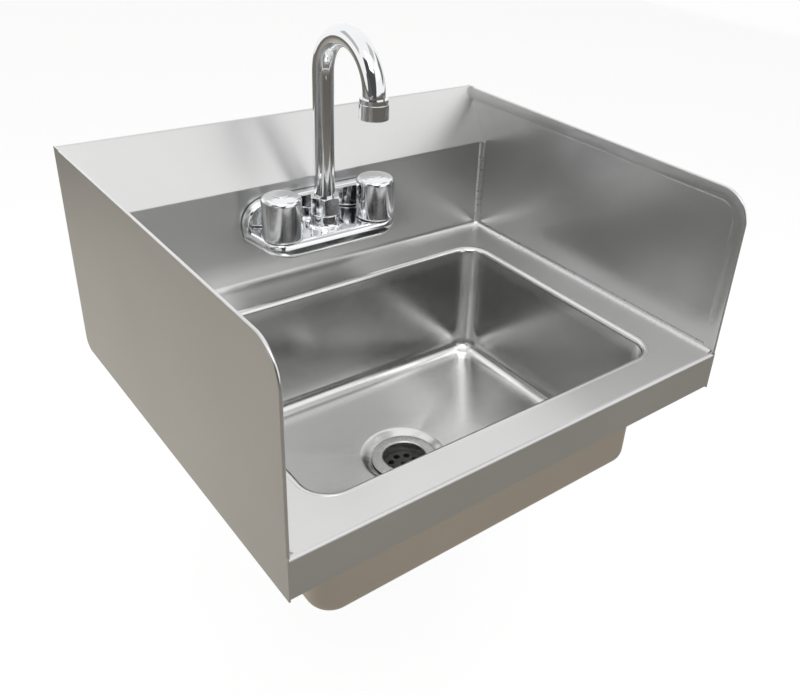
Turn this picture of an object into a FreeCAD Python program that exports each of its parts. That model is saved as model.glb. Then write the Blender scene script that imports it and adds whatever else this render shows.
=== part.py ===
import FreeCAD, Part
import math
import os

# Wall-hung stainless hand wash sink with side splashes and a splash-mounted gooseneck faucet.
# Millimetres. X runs to the right of a person at the sink, Y into the wall, Z up.
# Every shape is worked out with the wall at y = 0 and the top of the deck at z = 0. It is then
# lowered, so that the origin is the centre of the hanger's screw row, on the wall.

# Sheet metal of the deck, apron and backsplash
sink_width = 431.8
sink_depth = 368.3
sheet = 1.2
apron_height = 37.0
apron_return = 12.0
apron_bend = 3.2
end_flange_height = 14.0
splash_stand_off = 32.3
splash_height = 97.5
splash_top = 152.4
splash_cove = 6.0
splash_fold_bend = 3.0
hook_bend = 2.0
hook_height = 20.0

# Side splashes
side_front_radius = 28.0
side_back_radius = 11.0
hem_width = 13.0
hem_clearance = 0.5

# Bowl
bowl_length = 358.0
bowl_width = 266.0
bowl_front_margin = 31.0
bowl_sheet = 1.0
bowl_corner = 28.0
rim_flat = 1.0
rim_radius = 5.0
wall_lean = 1.5
cove_radius = 14.0
floor_edge_depth = 126.0
floor_drain_depth = 133.5
dish_drop = 2.0
dish_flat_radius = 34.0
dish_slope_run = 5.0
dish_bend = 3.0

# Wall hanger
hanger_length = 380.0
hanger_sheet = 1.9
hanger_plate_height = 34.0
hanger_joggle_height = 4.0
hanger_lip_height = 11.0
hanger_bend = 3.0
hook_clearance = 0.6
screw_row_drop = 40.4
screw_spacing = 304.8
screw_hole_radius = 3.2

# Drain
drain_setback = 7.0
drain_hole_radius = 25.4
drain_radius = 24.13
drain_bore = 20.6
drain_throat = 19.0
drain_length = 46.0
drain_flange_radius = 31.75
drain_flange_height = 2.5
drain_flange_round = 1.6
drain_gasket_height = 1.0
grid_depth = 12.0
grid_height = 1.5
grid_clearance = 0.2
grid_hole_radius = 3.2
grid_circle_radius = 12.8
grid_hole_count = 8
rubber_washer_height = 4.0
rubber_washer_radius = 33.0
slip_washer_height = 1.0
drain_nut_height = 9.0
drain_nut_flats = 63.5

# Groove behind each lock nut, where the free length of its thread begins
thread_relief_width = 1.5
thread_relief_depth = 0.6

# Faucet body and its inlets
inlet_spacing = 101.6
faucet_gasket_height = 1.0
flange_radius = 24.5
flange_face_radius = 21.0
flange_height = 62.0
flange_thickness = 9.0
shank_height = 58.0
shank_radius = 10.48
shank_bore = 6.0
shank_socket_depth = 6.0
shank_wall_gap = 5.0
shank_hole_radius = 12.0
shank_washer_radius = 17.0
shank_washer_height = 1.5
shank_nut_height = 6.0
shank_nut_flats = 30.0
shelf_top = 58.0
shelf_front_bottom = 43.0
shelf_end_radius = 18.0
shelf_round = 2.5
waterway_radius = 3.5
waterway_height = 53.0
waterway_rise = 0.6
cross_waterway_radius = 4.0
riser_waterway_radius = 4.5
handle_stand_off = 33.7
spout_stand_off = 23.7

# Spout and its swivel
spout_radius = 9.525
spout_wall = 1.1
spout_spread = 80.0
spout_arch_height = 201.0
spout_tip_height = 196.0
boss_radius = 14.0
boss_top = 70.0
boss_thread_radius = 12.0
boss_thread_height = 9.0
spout_socket_depth = 24.0
spout_heel_gap = 1.0
spout_heel_bore = 5.5
swivel_clearance = 0.08
collar_radius = 11.4
collar_height = 2.7
thrust_washer_height = 1.0
spout_nut_height = 16.7
spout_nut_flats = 26.0
spout_nut_hole_clearance = 0.3
o_ring_section = 2.2
o_ring_groove_width = 2.6
o_ring_first = 5.0
o_ring_pitch = 6.0
o_ring_count = 2

# Aerator
tip_collar_radius = 12.0
tip_collar_height = 3.5
tip_thread_radius = 10.9
tip_thread_length = 7.5
aerator_radius = 12.5
aerator_wall = 1.5
aerator_length = 13.4
aerator_lip = 1.5
aerator_mouth_radius = 9.4
aerator_gap = 0.3
insert_height = 2.6
insert_hole_radius = 1.1
insert_circle_radii = [3.2, 6.4]
insert_hole_counts = [6, 12]
aerator_washer_height = 1.2
aerator_washer_bore = 8.0

# Valves
pocket_radius = 8.5
pocket_depth = 11.0
bonnet_hex_flats = 21.0
bonnet_hex_height = 5.0
bonnet_neck_radius = 7.2
bonnet_neck_height = 18.0
bonnet_chamber_radius = 7.0
bonnet_chamber_height = 8.5
stem_radius = 4.9
stem_foot_radius = 6.4
stem_foot_height = 1.6
stem_spline_radius = 4.2
stem_spline_start = 27.0
stem_height = 37.0
seal_height = 1.5
disc_height = 2.0
disc_radius = 6.6
disc_gap = 0.04
disc_port_radius = 1.8
disc_port_offset = 3.6
fit_clearance = 0.1

# Handles
handle_radius = 18.5
handle_height = 42.0
handle_gap = 0.6
handle_wall = 2.6
handle_crown = 5.5
handle_round = 5.0
handle_foot_round = 1.0
handle_hub_radius = 8.5
handle_hub_drop = 10.0
screw_radius = 2.0
screw_head_radius = 3.8
screw_head_height = 2.6
screw_length = 10.0
screw_socket_flats = 3.0
cap_radius = 8.0
cap_height = 1.6
cap_edge = 0.6

# How far a cutting tool passes the face that it cuts, how far joined solids run into each
# other, and how close two points are that count as one
overrun = 5.0
join_overlap = 0.1
same_point = 1e-7

# Places worked out from the sizes above
half_width = sink_width / 2
screw_row_height = splash_top - screw_row_drop
splash_face = -splash_stand_off
bowl_middle = -sink_depth + bowl_front_margin + bowl_width / 2
drain_place = bowl_middle + drain_setback
faucet_back = splash_face - faucet_gasket_height
handle_place = splash_face - handle_stand_off
spout_place = splash_face - spout_stand_off
spout_tip_place = spout_place - spout_spread
valve_offset = inlet_spacing / 2
dish_floor = -floor_drain_depth - dish_drop
dish_underside = dish_floor - bowl_sheet
drain_nut_bottom = dish_underside - rubber_washer_height - slip_washer_height - drain_nut_height
pocket_floor = shelf_top - pocket_depth
shank_end = -shank_wall_gap
shank_seat = faucet_back - shank_socket_depth
shank_nut_back = splash_face + sheet + shank_washer_height + shank_nut_height
collar_bottom = boss_top + boss_thread_height + aerator_gap
tip_thread_end = spout_tip_height - tip_thread_length


def point(across, along=0, up=0):
    return FreeCAD.Vector(across, along, up)


def corner_arc(before, corner, after, radius):
    """The ends, middle, centre and turning sense of the arc that rounds one corner of an outline."""
    into = (corner - before).normalize()
    out = (after - corner).normalize()
    turn = into.getAngle(out)
    set_back = radius * math.tan(turn / 2)
    towards = (out - into).normalize()
    centre = corner + towards * (radius / math.cos(turn / 2))
    sense = 1 if into.cross(out).z > 0 else -1
    return into, out, corner - into * set_back, corner + out * set_back, centre, towards, sense


def joined(pieces):
    """One wire through a list of points, and of three-point arcs given as tuples."""
    edges = []
    here = None
    for piece in pieces:
        start = piece[0] if isinstance(piece, tuple) else piece
        if here is not None and here.distanceToPoint(start) > same_point:
            edges.append(Part.LineSegment(here, start).toShape())
        if isinstance(piece, tuple):
            edges.append(Part.Arc(*piece).toShape())
            start = piece[2]
        here = start
    return Part.Wire(edges)


def outline_face(points, radii=None):
    """A flat face inside a closed outline, with chosen corners rounded."""
    radii = radii or {}
    pieces = []
    for index, corner in enumerate(points):
        if radii.get(index):
            after = points[(index + 1) % len(points)]
            _, _, start, end, centre, towards, _ = corner_arc(points[index - 1], corner, after, radii[index])
            pieces.append((start, centre - towards * radii[index], end))
        else:
            pieces.append(corner)
    first = pieces[0][0] if isinstance(pieces[0], tuple) else pieces[0]
    return Part.Face(joined(pieces + [first]))


def strip_side(points, radii, shift):
    """One side of a folded strip: the path moved sideways by shift, with its bends kept round."""
    left = point(0, 0, 1)
    side = []
    for index, corner in enumerate(points):
        if index == 0:
            side.append(corner + left.cross(points[1] - corner).normalize() * shift)
        elif index == len(points) - 1:
            side.append(corner + left.cross(corner - points[index - 1]).normalize() * shift)
        else:
            radius = radii[index - 1]
            into, out, start, end, centre, towards, sense = corner_arc(
                points[index - 1], corner, points[index + 1], radius)
            side.append((start + left.cross(into) * shift,
                         centre - towards * (radius - sense * shift),
                         end + left.cross(out) * shift))
    return side


def strip_face(points, radii, thickness):
    """The section of a bent sheet, whose face follows the path and whose thickness lies beside it."""
    near = strip_side(points, radii, 0)
    far = [tuple(reversed(piece)) if isinstance(piece, tuple) else piece
           for piece in reversed(strip_side(points, radii, thickness))]
    return Part.Face(joined(near + far + [near[0]]))


def facing_x(face):
    """Stand a flat outline up so that its first axis is Y and its second is Z."""
    face.rotate(point(0), FreeCAD.Vector(1, 1, 1), 120)
    return face


def facing_y(face):
    """Stand a flat outline up so that its first axis is X and its second is Z."""
    face.rotate(point(0), FreeCAD.Vector(1, 0, 0), 90)
    return face


def turned(points, radii=None, x=0, y=0):
    """A solid of revolution about an upright axis, from a section given as radius and height."""
    face = facing_y(outline_face([point(*pair) for pair in points], radii))
    return face.revolve(point(0), FreeCAD.Vector(0, 0, 1), 360).translated(point(x, y))


def upright(radius, bottom, top, x=0, y=0):
    """An upright cylinder between two heights."""
    return Part.makeCylinder(radius, top - bottom, point(x, y, bottom))


def tube(outer, inner, bottom, top, x=0, y=0):
    """An upright ring or pipe."""
    return upright(outer, bottom, top, x, y).cut(upright(inner, bottom - overrun, top + overrun, x, y))


def level(radius, back, front, x, z):
    """A cylinder that lies along Y, from its back end towards its front end."""
    return Part.makeCylinder(radius, back - front, point(x, back, z), FreeCAD.Vector(0, -1, 0))


def rounded_block(length, width, radius, bottom, top):
    """An upright block about the origin with a rounded rectangle for its plan."""
    x = length / 2
    y = width / 2
    corners = [point(-x, -y), point(x, -y), point(x, y), point(-x, y)]
    face = outline_face(corners, dict.fromkeys(range(len(corners)), radius))
    return face.translated(point(0, 0, bottom)).extrude(point(0, 0, top - bottom))


def hexagon(flats, bottom, top, x=0, y=0):
    """An upright hexagonal bar with its corners turned down at both ends."""
    circle = flats / math.sqrt(3)
    corners = [point(circle * math.cos(math.radians(60 * i)), circle * math.sin(math.radians(60 * i)))
               for i in range(6)]
    bar = outline_face(corners).translated(point(0, 0, bottom)).extrude(point(0, 0, top - bottom))
    bevel = circle - flats / 2
    turning = turned([(0, bottom), (flats / 2, bottom), (circle, bottom + bevel / 2),
                      (circle, top - bevel / 2), (flats / 2, top), (0, top)])
    return bar.common(turning).translated(point(x, y))


def splash_slope():
    """The angle above level of the backsplash's leaning top, whose fold is tangent to the hook bend."""
    fold_centre = point(splash_stand_off - hook_bend, splash_top - hook_bend - splash_height)
    return math.atan2(fold_centre.y, fold_centre.x) + math.asin(hook_bend / fold_centre.Length)


def deck_and_backsplash():
    """Apron, deck, backsplash and hook flange folded from one sheet, with turned-down ends."""
    front = -sink_depth
    fold_corner = splash_height + splash_stand_off * math.tan(splash_slope())
    path = [point(front + apron_return, -apron_height), point(front, -apron_height), point(front, 0),
            point(splash_face, 0), point(splash_face, splash_height), point(0, fold_corner),
            point(0, splash_top - hook_height)]
    bends = [apron_bend, apron_bend, splash_cove, splash_fold_bend, hook_bend]
    section = facing_x(strip_face(path, bends, -sheet))
    body = section.translated(point(-half_width)).extrude(point(sink_width))
    for edge in (-half_width, half_width - sheet):
        flange = Part.makeBox(sheet, sink_depth - splash_stand_off - 2 * apron_bend - splash_cove,
                              end_flange_height, point(edge, front + 2 * apron_bend, -end_flange_height))
        body = body.fuse(flange.translated(point(0, 0, -sheet / 2)))
    opening = rounded_block(bowl_length, bowl_width, bowl_corner, -overrun, overrun)
    body = body.cut(opening.translated(point(0, bowl_middle)))
    for side in (-1, 1):
        body = body.cut(level(shank_hole_radius, splash_face + overrun, splash_face - overrun,
                              side * valve_offset, shank_height))
    return body.removeSplitter()


def side_splash(side):
    """One end panel, with a flat hem turned inwards along its front and top edges above the deck."""
    front = -sink_depth
    corners = [point(front, -apron_height), point(0, -apron_height), point(0, splash_top),
               point(front, splash_top)]
    panel_face = facing_x(outline_face(corners, {1: side_back_radius, 3: side_front_radius}))
    hem_rise = splash_top - hem_width - splash_height
    hem_back = splash_face + hem_rise / math.tan(splash_slope()) - hem_clearance
    outer = [point(front, hem_clearance), point(hem_back, hem_clearance), point(hem_back, splash_top),
             point(front, splash_top)]
    inner = [point(front + hem_width, -overrun), point(overrun, -overrun),
             point(overrun, splash_top - hem_width), point(front + hem_width, splash_top - hem_width)]
    hem_face = facing_x(outline_face(outer, {3: side_front_radius}))
    hem_face = hem_face.cut(facing_x(outline_face(inner, {3: side_front_radius - hem_width})))
    hem = hem_face.translated(point(-sheet)).extrude(point(sheet))
    panel = panel_face.extrude(point(sheet)).fuse(hem).removeSplitter()
    panel.translate(point(half_width))
    if side < 0:
        panel = panel.mirror(point(0), FreeCAD.Vector(1, 0, 0))
    return panel


def floor_facets(height):
    """The four creased facets of the bowl's floor: rectangle corners and middle, at a given height."""
    x = bowl_length / 2 - bowl_corner
    y = bowl_width / 2 - bowl_corner
    rim = [point(-x, -y, height - floor_edge_depth), point(x, -y, height - floor_edge_depth),
           point(x, y, height - floor_edge_depth), point(-x, y, height - floor_edge_depth)]
    return rim, point(0, drain_setback, height - floor_drain_depth)


def creased_slab(bottom, top):
    """A solid between two copies of the creased floor."""
    low_rim, low_middle = floor_facets(bottom)
    high_rim, high_middle = floor_facets(top)
    faces = []
    for i in range(len(low_rim)):
        j = (i + 1) % len(low_rim)
        for triangle in ([low_rim[j], low_rim[i], low_middle], [high_rim[i], high_rim[j], high_middle]):
            faces.append(Part.Face(Part.makePolygon(triangle + triangle[:1])))
        side = [low_rim[i], low_rim[j], high_rim[j], high_rim[i], low_rim[i]]
        faces.append(Part.Face(Part.makePolygon(side)))
    return Part.Solid(Part.makeShell(faces))


def bowl():
    """The drawn bowl: one wall section carried along the sides and round the corners."""
    wall_top = bowl_corner - rim_flat - rim_radius
    path = [point(bowl_corner, 0), point(wall_top, 0), point(wall_top - wall_lean, -floor_edge_depth),
            point(0, -floor_edge_depth)]
    section = facing_y(strip_face(path, [rim_radius, cove_radius], bowl_sheet))
    half_x = bowl_length / 2 - bowl_corner
    half_y = bowl_width / 2 - bowl_corner
    pieces = []
    for quarter in range(4):
        out, beside = (half_x, half_y) if quarter % 2 == 0 else (half_y, half_x)
        wall = section.translated(point(out, -beside)).extrude(point(0, 2 * beside))
        corner = section.revolve(point(0), FreeCAD.Vector(0, 0, 1), 90).translated(point(out, beside))
        for piece in (wall, corner):
            pieces.append(piece.rotated(point(0), FreeCAD.Vector(0, 0, 1), 90 * quarter))
    dish_path = [point(dish_flat_radius + dish_slope_run, dish_floor + dish_drop + floor_drain_depth
                       - floor_edge_depth), point(dish_flat_radius, dish_floor),
                 point(drain_hole_radius, dish_floor)]
    dish = facing_y(strip_face(dish_path, [dish_bend], bowl_sheet))
    dish = dish.revolve(point(0), FreeCAD.Vector(0, 0, 1), 360).translated(point(0, drain_setback))
    dish = dish.cut(creased_slab(0, floor_drain_depth))
    dish_mouth = upright(dish_flat_radius + dish_slope_run / 2, dish_underside - overrun, 0, 0,
                         drain_setback)
    floor = creased_slab(-bowl_sheet, 0).cut(dish_mouth)
    shell = pieces[0].multiFuse(pieces[1:] + [floor, dish]).removeSplitter()
    return shell.translated(point(0, bowl_middle))


def wall_hanger():
    """The joggled strip that is screwed to the wall and carries the sink's hook flange."""
    lip_gap = sheet + hook_clearance
    plate_bottom = screw_row_height - hanger_plate_height / 2
    plate_top = screw_row_height + hanger_plate_height / 2 - hook_clearance
    joggle_top = plate_top + hanger_joggle_height
    path = [point(0, plate_bottom), point(0, plate_top), point(-lip_gap, joggle_top),
            point(-lip_gap, joggle_top + hanger_lip_height)]
    section = facing_x(strip_face(path, [hanger_bend, hanger_bend], hanger_sheet))
    strip = section.translated(point(-hanger_length / 2)).extrude(point(hanger_length))
    for side in (-1, 1):
        strip = strip.cut(level(screw_hole_radius, overrun, -overrun, side * screw_spacing / 2,
                                screw_row_height))
    return strip


def drain_body():
    """The flanged and threaded drain, with a ledge for the grid and a groove behind its lock nut."""
    flange_bottom = dish_floor + drain_gasket_height
    flange_top = flange_bottom + drain_flange_height
    ledge = flange_top - grid_depth
    end = dish_floor - drain_length
    relief = drain_radius - thread_relief_depth
    free_top = drain_nut_bottom - thread_relief_width
    section = [(drain_throat, end), (drain_radius, end), (drain_radius, free_top), (relief, free_top),
               (relief, drain_nut_bottom), (drain_radius, drain_nut_bottom), (drain_radius, flange_bottom),
               (drain_flange_radius, flange_bottom), (drain_flange_radius, flange_top),
               (drain_bore, flange_top), (drain_bore, ledge), (drain_throat, ledge)]
    return turned(section, {8: drain_flange_round, 9: drain_flange_round}, 0, drain_place)


def drain_grid():
    """The perforated plate that lies on the drain's ledge."""
    bottom = dish_floor + drain_gasket_height + drain_flange_height - grid_depth
    top = bottom + grid_height
    plate = upright(drain_bore - grid_clearance, bottom, top)
    holes = [upright(grid_hole_radius, bottom - overrun, top + overrun)]
    for i in range(grid_hole_count):
        angle = 2 * math.pi * i / grid_hole_count
        holes.append(holes[0].translated(point(grid_circle_radius * math.cos(angle),
                                               grid_circle_radius * math.sin(angle))))
    return plate.cut(Part.Compound(holes)).translated(point(0, drain_place))


def drain_fasteners():
    """The gasket over the bowl's dish, and the washers and lock nut under it."""
    bore = drain_radius + fit_clearance
    washer_bottom = dish_underside - rubber_washer_height
    slip_bottom = washer_bottom - slip_washer_height
    nut = hexagon(drain_nut_flats, drain_nut_bottom, slip_bottom)
    nut = nut.cut(upright(bore, drain_nut_bottom - overrun, slip_bottom + overrun))
    return {
        "drain_flange_gasket": tube(drain_flange_radius - drain_flange_round, drain_hole_radius, dish_floor,
                                    dish_floor + drain_gasket_height, 0, drain_place),
        "drain_rubber_washer": tube(rubber_washer_radius, bore, washer_bottom, dish_underside, 0,
                                    drain_place),
        "drain_slip_washer": tube(rubber_washer_radius, bore, slip_bottom, washer_bottom, 0, drain_place),
        "drain_lock_nut": nut.translated(point(0, drain_place)),
    }


def stadium(radius, height, back):
    """A wire with round ends over the two inlets, standing upright at one distance from the wall."""
    corners = [point(-valve_offset - radius, height - radius), point(valve_offset + radius, height - radius),
               point(valve_offset + radius, height + radius), point(-valve_offset - radius, height + radius)]
    pieces = []
    for i in range(len(corners)):
        after = corners[(i + 1) % len(corners)]
        _, _, start, end, centre, towards, _ = corner_arc(corners[i - 1], corners[i], after, radius)
        pieces.append((start, centre - towards * radius, end))
    wire = facing_y(joined(pieces + [pieces[0][0]]))
    return wire.translated(point(0, back))


def faucet_shelf():
    """The casting's shelf, which carries the valves and the spout: a hull that narrows to its front."""
    front = handle_place - shelf_end_radius
    front_height = shelf_front_bottom + shelf_end_radius
    hull = Part.makeLoft([stadium(flange_radius, flange_height, faucet_back),
                          stadium(shelf_end_radius, front_height, front)], True, True)
    half_length = valve_offset + flange_radius
    corner = shelf_end_radius - join_overlap
    plan = [point(-half_length, faucet_back), point(-valve_offset - shelf_end_radius, front),
            point(valve_offset + shelf_end_radius, front), point(half_length, faucet_back)]
    plan_face = outline_face(plan, {1: corner, 2: corner})
    bar = hull.common(plan_face.extrude(point(0, 0, shelf_top)))
    rims = [edge for edge in bar.Edges if edge.BoundBox.ZMin > shelf_top - join_overlap
            and edge.BoundBox.YMin < faucet_back - join_overlap]
    return bar.makeFillet(shelf_round, rims)


def faucet_body():
    """The cast body: wall flange, shelf and spout boss, with its waterways and sockets."""
    flange = Part.makeLoft([stadium(flange_radius, flange_height, faucet_back),
                            stadium(flange_radius, flange_height, faucet_back - flange_thickness / 3),
                            stadium(flange_face_radius, flange_height, faucet_back - flange_thickness)],
                           True, True)
    boss = upright(boss_radius, shelf_front_bottom, boss_top, 0, spout_place)
    thread = upright(boss_thread_radius, boss_top - join_overlap, boss_top + boss_thread_height, 0,
                     spout_place)
    body = flange.multiFuse([faucet_shelf(), boss, thread])
    socket_floor = boss_top + boss_thread_height - spout_socket_depth
    socket_top = boss_top + boss_thread_height + overrun
    cuts = [upright(spout_radius + swivel_clearance, socket_floor, socket_top, 0, spout_place)]
    for side in (-1, 1):
        x = side * valve_offset
        cuts.append(level(shank_radius + fit_clearance, faucet_back + overrun, shank_seat, x, shank_height))
        cuts.append(level(waterway_radius, shank_seat + join_overlap, handle_place, x, waterway_height))
        cuts.append(upright(pocket_radius, pocket_floor, shelf_top + overrun, x, handle_place))
    drilling_height = pocket_floor + waterway_radius + waterway_rise
    drilling_end = valve_offset + waterway_radius
    cuts.append(Part.makeCylinder(cross_waterway_radius, 2 * drilling_end,
                                  point(-drilling_end, spout_place, drilling_height),
                                  FreeCAD.Vector(1, 0, 0)))
    for side in (-1, 1):
        cuts.append(level(waterway_radius, spout_place, handle_place, side * valve_offset, drilling_height))
    cuts.append(upright(riser_waterway_radius, drilling_height, socket_floor + overrun, 0, spout_place))
    return body.cut(Part.Compound(cuts)).removeSplitter()


def faucet_gasket():
    """The sealing sheet between the faucet's flange and the backsplash."""
    face = Part.Face(stadium(flange_radius - faucet_gasket_height, flange_height, faucet_back))
    pad = face.extrude(point(0, faucet_gasket_height))
    for side in (-1, 1):
        pad = pad.cut(level(shank_hole_radius, splash_face + overrun, faucet_back - overrun,
                            side * valve_offset, shank_height))
    return pad


def inlet_shank(side):
    """One threaded inlet tube, screwed into the casting, with a groove behind its lock nut."""
    x = side * valve_offset
    shank = level(shank_radius, shank_end, shank_seat, x, shank_height)
    shank = shank.cut(level(shank_bore, shank_end + overrun, shank_seat - overrun, x, shank_height))
    relief = level(shank_radius + overrun, shank_nut_back + thread_relief_width, shank_nut_back, x,
                   shank_height)
    core = level(shank_radius - thread_relief_depth, shank_end, shank_seat, x, shank_height)
    return shank.cut(relief.cut(core))


def shank_fasteners(side):
    """The washer and the lock nut that clamp one inlet behind the backsplash."""
    sheet_back = splash_face + sheet
    washer_back = sheet_back + shank_washer_height
    bore = shank_radius + fit_clearance
    washer = tube(shank_washer_radius, bore, -washer_back, -sheet_back)
    nut = hexagon(shank_nut_flats, -shank_nut_back, -washer_back)
    nut = nut.cut(upright(bore, -shank_nut_back - overrun, -washer_back + overrun))
    placed = []
    for piece in (washer, nut):
        piece = piece.rotated(point(0), FreeCAD.Vector(1, 0, 0), 90)
        placed.append(piece.translated(point(side * valve_offset, 0, shank_height)))
    return placed


def gooseneck(radius, bottom, end):
    """A bar along the spout's path: up the riser, over the arch and down to the tip."""
    riser = upright(radius, bottom, spout_arch_height, 0, spout_place)
    tip = upright(radius, end, spout_arch_height, 0, spout_tip_place)
    circle = Part.Face(Part.Wire(Part.makeCircle(radius, point(0, spout_place, spout_arch_height))))
    arch_centre = point(0, spout_place - spout_spread / 2, spout_arch_height)
    arch = circle.revolve(arch_centre, FreeCAD.Vector(1, 0, 0), 180)
    return riser.multiFuse([arch, tip]).removeSplitter()


def gooseneck_spout():
    """The swivelling spout, with its heel, retaining collar and threaded tip."""
    heel = boss_top + boss_thread_height - spout_socket_depth + spout_heel_gap
    bore_start = collar_bottom + collar_height
    spout = gooseneck(spout_radius, heel, tip_thread_end)
    rings = [upright(collar_radius, collar_bottom, bore_start, 0, spout_place),
             upright(tip_thread_radius, tip_thread_end, spout_tip_height, 0, spout_tip_place),
             upright(tip_collar_radius, spout_tip_height, spout_tip_height + tip_collar_height, 0,
                     spout_tip_place)]
    spout = spout.multiFuse(rings)
    spout = spout.cut(gooseneck(spout_radius - spout_wall, bore_start, tip_thread_end - overrun))
    spout = spout.cut(upright(spout_heel_bore, heel - overrun, bore_start + overrun, 0, spout_place))
    for i in range(o_ring_count):
        middle = heel + o_ring_first + i * o_ring_pitch
        spout = spout.cut(tube(spout_radius + overrun, spout_radius - o_ring_section,
                               middle - o_ring_groove_width / 2, middle + o_ring_groove_width / 2, 0,
                               spout_place))
    return spout.removeSplitter()


def spout_o_rings():
    """The two rings that seal the spout in its socket."""
    heel = boss_top + boss_thread_height - spout_socket_depth + spout_heel_gap
    rings = []
    for i in range(o_ring_count):
        middle = heel + o_ring_first + i * o_ring_pitch
        section = o_ring_section / 2
        rings.append(Part.makeTorus(spout_radius - section, section, point(0, spout_place, middle)))
    return Part.Compound(rings)


def spout_swivel():
    """The thrust washer on the spout's collar and the nut that holds the spout down."""
    washer_bottom = collar_bottom + collar_height + aerator_gap
    washer_top = washer_bottom + thrust_washer_height
    hole = spout_radius + spout_nut_hole_clearance
    washer = tube(collar_radius, hole, washer_bottom, washer_top, 0, spout_place)
    nut_bottom = boss_top + fit_clearance
    nut_top = nut_bottom + spout_nut_height
    nut = hexagon(spout_nut_flats, nut_bottom, nut_top)
    nut = nut.cut(upright(boss_thread_radius + fit_clearance, nut_bottom - overrun, washer_top))
    nut = nut.cut(upright(hole, nut_bottom, nut_top + overrun))
    return washer, nut.translated(point(0, spout_place))


def aerator():
    """The aerator's screwed housing, its perforated insert and its washer."""
    top = spout_tip_height - aerator_gap
    bottom = top - aerator_length
    lip_top = bottom + aerator_lip
    bore = tip_thread_radius + fit_clearance
    housing = turned([(aerator_mouth_radius, bottom), (aerator_radius, bottom), (aerator_radius, top),
                      (bore, top), (bore, lip_top), (aerator_mouth_radius, lip_top)],
                     {1: aerator_wall / 2, 2: aerator_wall / 3}, 0, spout_tip_place)
    insert_top = tip_thread_end - aerator_washer_height
    insert_bottom = insert_top - insert_height
    insert = upright(tip_thread_radius - fit_clearance, insert_bottom, insert_top)
    insert = insert.fuse(upright(aerator_mouth_radius - fit_clearance, lip_top - aerator_lip / 2,
                                 insert_bottom))
    holes = [upright(insert_hole_radius, bottom - overrun, insert_top + overrun)]
    for radius, count in zip(insert_circle_radii, insert_hole_counts):
        for i in range(count):
            angle = 2 * math.pi * i / count
            holes.append(holes[0].translated(point(radius * math.cos(angle), radius * math.sin(angle))))
    insert = insert.cut(Part.Compound(holes)).translated(point(0, spout_tip_place))
    washer = tube(tip_thread_radius - fit_clearance, aerator_washer_bore, insert_top, tip_thread_end, 0,
                  spout_tip_place)
    return housing, insert, washer


def valve_discs(x):
    """The rubber seal, the fixed disc and the turning disc at the bottom of one valve."""
    seal_top = pocket_floor + seal_height
    fixed_top = seal_top + disc_height
    turning_bottom = fixed_top + disc_gap
    ports = []
    for side in (-1, 1):
        ports.append(upright(disc_port_radius, pocket_floor - overrun, shelf_top + overrun,
                             x + side * disc_port_offset, handle_place))
    seal = tube(disc_radius, disc_port_offset + disc_port_radius, pocket_floor, seal_top, x, handle_place)
    fixed = upright(disc_radius, seal_top, fixed_top, x, handle_place).cut(Part.Compound(ports))
    turning = upright(disc_radius, turning_bottom, turning_bottom + disc_height, x, handle_place)
    quarter = Part.Compound(ports).rotate(point(x, handle_place), FreeCAD.Vector(0, 0, 1), 90)
    return seal, fixed, turning.cut(quarter)


def valve_bonnet(x):
    """The threaded brass bush that holds one valve's discs and guides its stem."""
    hex_top = shelf_top + bonnet_hex_height
    neck_top = hex_top + bonnet_neck_height
    bush = upright(pocket_radius - fit_clearance, pocket_floor, shelf_top)
    bush = bush.fuse(upright(bonnet_neck_radius, hex_top - join_overlap, neck_top))
    bush = bush.fuse(hexagon(bonnet_hex_flats, shelf_top, hex_top))
    bush = bush.cut(upright(bonnet_chamber_radius, pocket_floor - overrun,
                            pocket_floor + bonnet_chamber_height))
    bush = bush.cut(upright(stem_radius + swivel_clearance, pocket_floor, neck_top + overrun))
    return bush.translated(point(x, handle_place))


def valve_stem(x):
    """One valve's stem, from the foot that drives the turning disc to the end inside the handle."""
    foot_bottom = pocket_floor + seal_height + 2 * disc_height + disc_gap
    foot_top = foot_bottom + stem_foot_height
    spline_bottom = pocket_floor + stem_spline_start
    top = spline_bottom + stem_height - stem_spline_start
    stem = turned([(0, foot_bottom), (stem_foot_radius, foot_bottom), (stem_foot_radius, foot_top),
                   (stem_radius, foot_top), (stem_radius, spline_bottom),
                   (stem_spline_radius, spline_bottom), (stem_spline_radius, top), (0, top)])
    stem = stem.cut(upright(screw_radius, top - screw_length, top + overrun))
    return stem.translated(point(x, handle_place))


def handle(x):
    """One round handle: a hollow drum with a hub that grips the stem and a recess for its screw."""
    bottom = shelf_top + handle_gap
    top = bottom + handle_height
    under_crown = top - handle_crown
    hub_bottom = under_crown - handle_hub_drop
    stem_top = pocket_floor + stem_height
    section = [(0, stem_top), (stem_spline_radius, stem_top), (stem_spline_radius, hub_bottom),
               (handle_hub_radius, hub_bottom), (handle_hub_radius, under_crown),
               (handle_radius - handle_wall, under_crown), (handle_radius - handle_wall, bottom),
               (handle_radius, bottom), (handle_radius, top), (0, top)]
    drum = turned(section, {5: handle_wall, 7: handle_foot_round, 8: handle_round})
    cap_seat = top - cap_height + cap_edge
    drum = drum.cut(upright(cap_radius + fit_clearance, cap_seat, top + overrun))
    drum = drum.cut(upright(screw_head_radius + fit_clearance, stem_top + handle_crown / 2, top + overrun))
    drum = drum.cut(upright(screw_radius, stem_top - overrun, top + overrun))
    return drum.translated(point(x, handle_place))


def handle_screw(x):
    """The screw that pulls one handle down on its stem."""
    stem_top = pocket_floor + stem_height
    seat = stem_top + handle_crown / 2
    screw = upright(screw_radius, stem_top - screw_length + fit_clearance, seat)
    screw = screw.fuse(upright(screw_head_radius, seat, seat + screw_head_height))
    socket = hexagon(screw_socket_flats, seat + screw_head_height / 2, seat + screw_head_height + overrun)
    return screw.cut(socket).translated(point(x, handle_place))


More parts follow.
